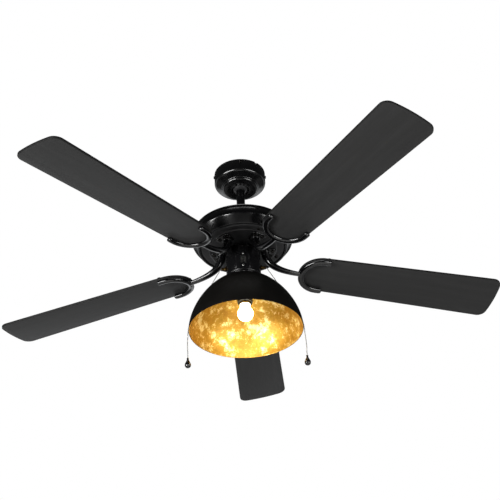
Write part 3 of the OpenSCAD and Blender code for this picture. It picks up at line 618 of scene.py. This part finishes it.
def add_fitter():
    """The plate under the cup: a rolled ring outside, and the hollow nipple that carries shade and lamp."""
    radius, top, floor = high("light_fitter").x, low("switch_cup").z, low("light_fitter").z
    nipple, bore = 19.8, 15.8
    outline = [(bore, floor, 0), (nipple, floor, 0.6), (nipple, top - 10, 0), (radius - 1, top - 10, 0.6),
               (radius, top - 8.5, 1.4), (radius - 0.6, top - 6.6, 1), (radius - 2.2, top - 5, 1.4),
               (radius - 0.6, top - 3.4, 1), (radius, top - 1.5, 1.4), (radius - 1, top, 0.5),
               (radius - 3.3, top, 0), (radius - 3.3, top + 3, 0.3), (radius - 5.1, top + 3, 0.3),
               (radius - 5.1, top - 6.5, 1), (bore, top - 6.5, 0)]
    piece("light_fitter_plate", turned(rounded(outline, 6), closed=True), "black_enamel", "hanger",
          ("light_fitter",))


add_fitter()

DOME_CLOSE = 1.09                # height at which the dome's curve would close, over its own height
DOME_POWER = 1.7                 # squareness of the curve: 2 would be an ellipse
DOME_POINTS = 56


def add_shade():
    """Spun dome, open below: matt black outside, gold leaf inside."""
    radius, top, rim = high("shade").x, high("shade").z, low("shade").z
    height = top - rim
    hole, neck = 20.2, 37
    points = [Vector((hole, top))] + [Vector((hole + (neck - hole) * k / 4, top)) for k in range(1, 5)]
    for k in range(DOME_POINTS + 1):
        up = height * 0.985 * math.cos(math.pi / 2 * k / DOME_POINTS)
        part = (up / (height * DOME_CLOSE)) ** DOME_POWER
        points.append(Vector((radius * (1 - part) ** (1 / DOME_POWER), rim + up)))
    piece("shade_dome", turned(points, steps=192), "shade_metal", "hanger", ("shade",), wall=THIN_SHEET,
          inner=GOLD_LEAF, lip=0.5, sharp=60)


add_shade()


def add_lamp():
    """The ribbed lampholder and the bulb's globe."""
    radius, top, floor = high("lampholder").x, high("lampholder").z, low("lampholder").z
    body, bore = radius - 0.8, 14.1
    ribs = []
    for k in range(3):
        foot = floor + 4 + 5 * k
        ribs += [(body, foot, 0), (radius, foot + 0.3, 0.3), (radius, foot + 1.7, 0.3), (body, foot + 2, 0)]
    outline = [(bore, floor + 32, 0), (bore, floor, 0.4), (body, floor, 0.8), *ribs, (body, top - 5, 1.2),
               (body - 3, top - 5, 0), (body - 3, top, 0.6), (5, top, 0), (5, floor + 32, 0)]
    piece("lampholder_body", turned(rounded(outline, 4), closed=True, steps=96), "black_plastic", "hanger",
          ("lampholder",))
    ball, floor, top = high("bulb_glass").x, low("bulb_glass").z, high("bulb_glass").z
    shoulder = math.degrees(math.acos(14 / ball))
    glass = arc((0, floor + ball), ball, -90, shoulder, 40) + [Vector((12.9, top - 1.2)), Vector((12.2, top)),
                                                              Vector((0, top))]
    piece("lamp_globe", turned(glass, steps=96), "lamp_glass", "hanger", ("bulb_glass",))


add_lamp()


# ---- Rotor: lower can, irons and blades ----
def add_rotor_can():
    """The painted casting seen in the housing's opening, stepped from its raised face to its rim."""
    rim, floor, top = high("rotor_bottom_can").x, low("rotor_bottom_can").z, high("rotor_bottom_can").z
    drum, plate = rim - 7.5, rim - 20.5
    outline = [(14, floor, 0.5), (plate, floor, 0.8), (plate + 2, floor + 2, 0.6),
               (drum + 3, floor + 2, 0.8), (drum + 5, floor + 4.2, 0.4), (rim, floor + 4.2, 0.5),
               (rim, floor + 6, 0.4), (drum, floor + 6, 1), (drum, top, 0.5), (drum - 8, top, 0.5),
               (drum - 8, floor + 6, 0), (20, floor + 6, 0), (20, floor + 13, 0), (16, floor + 13, 0),
               (16, floor + 3, 0), (14, floor + 3, 0)]
    piece("rotor_lower_can", turned(rounded(outline, 4), closed=True), "cast_aluminium", "rotor",
          ("rotor_bottom_can",))


add_rotor_can()

BLADES = 5
FIRST_AZIMUTH = -57.6
PITCH, DROOP = math.radians(9.8), math.radians(2.4)
BLADE_Z = -280.0
BLADE_T = 6.0
ROOT_S, ROOT_R = 197.0, 56.5              # the blade's round root: its centre's distance out, and its radius
TIP_HALF, TIP_ARC, TIP_CORNER = 67.0, 400.0, 22.0
YOKE_R = 50.0
YOKE_W, YOKE_T = 15.0, 10.0
YOKE_Z = -(BLADE_T + YOKE_T) / 2 - 0.4
FOOT_Z = 43.0                             # the rotor's face over the blades' plane
LAY = Matrix.Rotation(DROOP, 4, "Y") @ Matrix.Rotation(-PITCH, 4, "X")


def blade_frame(i):
    """Matrix of a blade's place: outwards along X, its plane's height at the axis as zero."""
    turn = Matrix.Rotation(math.radians(FIRST_AZIMUTH + 360 / BLADES * i), 4, "Z")
    return Matrix.Translation((0, 0, BLADE_Z * MM)) @ turn


def blade_outline():
    """A round root, straight sides that spread, and a shallow arc at the tip with rounded corners."""
    tip = max(c.length for c in (Vector(v.co[:2]) for v in frame["nodes"]["blade_1"].data.vertices)) / MM
    corner_y = TIP_HALF - TIP_CORNER
    hub = tip - TIP_ARC
    corner_x = hub + math.sqrt((TIP_ARC - TIP_CORNER) ** 2 - corner_y ** 2)
    lean = math.degrees(math.asin(corner_y / (TIP_ARC - TIP_CORNER)))
    return (arc((ROOT_S, 0), ROOT_R, 90, 270, 48) + arc((corner_x, -corner_y), TIP_CORNER, -90, -lean, 12)
            + arc((hub, 0), TIP_ARC, -lean, lean, 24)[1:-1]
            + arc((corner_x, corner_y), TIP_CORNER, lean, 90, 12))


def add_blade(i, outline):
    """A board with a softly rounded edge, foil on its faces and a strip round its edge."""
    bm = bmesh.new()
    slab(bm, outline, -BLADE_T / 2, BLADE_T / 2)
    bmesh.ops.recalc_face_normals(bm, faces=bm.faces[:])
    faces = [f for f in bm.faces if abs(f.normal.z) > 0.9]
    bevel_edges(bm, list({e for f in faces for e in f.edges}), 1.3, 4)
    grain = bm.loops.layers.uv.new("grain")
    for face in bm.faces:
        face.material_index = 0 if abs(face.normal.z) > 0.999 else 1
        for loop in face.loops:
            loop[grain].uv = (loop.vert.co.x + 0.7 * i, loop.vert.co.y + 0.31 * i)
    bmesh.ops.transform(bm, matrix=blade_frame(i) @ LAY, verts=bm.verts[:])
    piece(f"blade_board_{i + 1}", bm, "blade_board", "rotor", (f"blade_{i + 1}",), inner=EDGE_BAND)


FOOT_T = 3.5
FOOT_MIDDLE = FOOT_Z - FOOT_T / 2
ARM_STEPS = 32
ARM_START, ARM_END = (11, 11), (7, 4.8)   # half width and half depth of the arm, at each end
LEG = (14, 13.6, 12.4, 10.4, 7, 3)        # rings along each straight end of the yoke, past the root's centre
LEG_TIP = {0: 0.3, 1: 0.62, 2: 0.84, 3: 0.96}         # share of full size of the rings at a rounded tip
BOSS_D = 11
IRON_VOXEL = 0.0009
IRON_SMOOTHING = 5


def add_iron(i):
    """One casting: a foot on the rotor, an arm that runs down and out, and a yoke round the blade's root."""
    bm = bmesh.new()
    foot = (arc((53, 10), 6, 180, 90, 6) + arc((75, 13), 7, 90, 0, 6) + arc((75, -13), 7, 0, -90, 6)
            + arc((53, -10), 6, -90, -180, 6))
    slab(bm, foot, FOOT_Z - FOOT_T, FOOT_Z)
    end = LAY @ Vector((ROOT_S - YOKE_R, 0, YOKE_Z))
    curve = [Vector((57, 0, FOOT_MIDDLE)), Vector((58, 0, FOOT_MIDDLE - 36)), Vector((86, 0, end.z + 4)), end]
    rings = []
    for k in range(ARM_STEPS + 1):
        t = k / ARM_STEPS
        u = 1 - t
        place = curve[0] * u ** 3 + 3 * curve[1] * u * u * t + 3 * curve[2] * u * t * t + curve[3] * t ** 3
        heading = ((curve[1] - curve[0]) * u * u + 2 * (curve[2] - curve[1]) * u * t
                   + (curve[3] - curve[2]) * t * t)
        wide, deep = (a + (b - a) * t for a, b in zip(ARM_START, ARM_END))
        rings.append(ring(place, Vector((0, -1, 0)), heading.normalized(), deep, wide))
    sweep(bm, rings, 28)
    # the yoke: a half circle with straight ends, whose tips are rounded off
    flat = [(ROOT_S + x, YOKE_R) for x in LEG]
    flat += [(ROOT_S - YOKE_R * math.sin(math.pi * k / 40), YOKE_R * math.cos(math.pi * k / 40))
             for k in range(41)]
    flat += [(x, -y) for x, y in reversed(flat[:len(LEG)])]
    up = LAY.to_3x3() @ Vector((0, 0, 1))
    line = [LAY @ Vector((x, y, YOKE_Z)) for x, y in flat]
    rings = []
    for k, place in enumerate(line):
        heading = (line[min(k + 1, len(line) - 1)] - line[max(k - 1, 0)]).normalized()
        size = LEG_TIP.get(min(k, len(line) - 1 - k), 1)
        rings.append(ring(place, up, heading, size * YOKE_W / 2, size * YOKE_T / 2))
    sweep(bm, rings, 24)
    for x, y in ((ROOT_S + 8, YOKE_R), (ROOT_S + 8, -YOKE_R), (ROOT_S - YOKE_R, 0)):
        where = LAY @ Matrix.Translation(Vector((x, y, (YOKE_Z - BLADE_T / 2) / 2)) * MM)
        drill(bm, where, BOSS_D, -YOKE_Z - BLADE_T / 2)
    bmesh.ops.recalc_face_normals(bm, faces=bm.faces[:])
    bmesh.ops.transform(bm, matrix=blade_frame(i), verts=bm.verts[:])
    mesh = bpy.data.meshes.new("casting")
    bm.to_mesh(mesh)
    bm.free()
    rough = bpy.data.objects.new("casting", mesh)
    scene.collection.objects.link(rough)
    fuse = rough.modifiers.new("fuse", "REMESH")
    fuse.mode = "VOXEL"
    fuse.voxel_size = IRON_VOXEL
    soften = rough.modifiers.new("soften", "SMOOTH")
    soften.factor = 0.5
    soften.iterations = IRON_SMOOTHING
    settle(rough)
    bm = bmesh.new()
    bm.from_mesh(rough.data)
    bpy.data.objects.remove(rough)
    piece(f"iron_casting_{i + 1}", bm, "gloss_black_iron", "rotor", (f"blade_iron_{i + 1}",), sharp=180)


for number in range(BLADES):
    add_blade(number, blade_outline())
    add_iron(number)


# ---- Light and room ----
FLOOR_Z, FLOOR_REACH = -3.0, 9
ROOM, WALL = 0.03, 1.1        # brightness of the dark room, and of the pale wall behind the fan


def add_floor():
    bm = bmesh.new()
    bmesh.ops.create_grid(bm, x_segments=1, y_segments=1, size=FLOOR_REACH,
                          matrix=Matrix.Translation((0, 0, FLOOR_Z)))
    mesh = bpy.data.meshes.new("floor")
    bm.to_mesh(mesh)
    bm.free()
    floor = bpy.data.objects.new("floor", mesh)
    scene.collection.objects.link(floor)
    mesh.materials.append(coated("matt_plaster_floor", tones("#e9e8e6", "#f0efed"), (0.8, 0.9),
                                 cloud=900, grain=30, depth=0.1))


def add_softbox(name, azimuth, rise, distance, size, power, aim):
    """A square lamp that faces the aim point; azimuth 0 is in front of the fan."""
    lamp = bpy.data.objects.new(name, bpy.data.lights.new(name, "AREA"))
    scene.collection.objects.link(lamp)
    a, e = math.radians(azimuth), math.radians(rise)
    away = Vector((math.sin(a) * math.cos(e), -math.cos(a) * math.cos(e), math.sin(e)))
    lamp.location = aim + away * distance
    lamp.rotation_euler = away.to_track_quat("Z", "Y").to_euler()
    lamp.data.shape = "RECTANGLE"
    lamp.data.size, lamp.data.size_y = size
    lamp.data.energy = power


def add_world():
    """A white backdrop for the camera; for the gloss, a dark room with a pale wall behind the fan."""
    world = bpy.data.worlds.new("studio")
    world.use_nodes = True
    scene.world = world
    tree = world.node_tree
    to = add(tree, "SeparateXYZ", inputs={0: add(tree, "TexCoord").outputs["Generated"]})
    band = add(tree, "MapRange", inputs={"Value": to.outputs["Z"], "From Min": 0.25, "From Max": 0.0,
                                         "To Min": 0.0, "To Max": 1.0})
    wall = add(tree, "MapRange", inputs={"Value": to.outputs["Y"], "From Min": 0.0, "From Max": 0.7,
                                         "To Min": 0.0, "To Max": WALL})
    pale = add(tree, "Math", {"operation": "MULTIPLY_ADD"}, {0: band.outputs["Result"],
                                                             1: wall.outputs["Result"], 2: ROOM})
    tree.nodes["Background"].inputs["Color"].default_value = srgb("#eceef0")
    tree.links.new(pale.outputs[0], tree.nodes["Background"].inputs["Strength"])
    backdrop = add(tree, "Background", inputs={"Color": srgb("#ffffff"), "Strength": 1.0})
    chooser = add(tree, "MixShader", inputs={0: add(tree, "LightPath").outputs["Is Camera Ray"]})
    tree.links.new(tree.nodes["Background"].outputs["Background"], chooser.inputs[1])
    tree.links.new(backdrop.outputs["Background"], chooser.inputs[2])
    tree.links.new(chooser.outputs["Shader"], tree.nodes["World Output"].inputs["Surface"])


add_floor()
add_world()
middle = Vector((0, 0, -0.25))
SOFTBOX = {"rise": -18, "distance": 3.2, "size": (2.3, 0.8), "aim": middle}
add_softbox("softbox_left", -47, power=140, **SOFTBOX)
add_softbox("softbox_right", 47, power=60, **SOFTBOX)
add_softbox("ceiling_bounce", 0, 90, 4, (2, 2), 25, middle)
add_softbox("floor_wash", 0, 90, 1.8, (4, 4), 31, Vector((0, 0, FLOOR_Z)))
scene.view_settings.view_transform = "Standard"
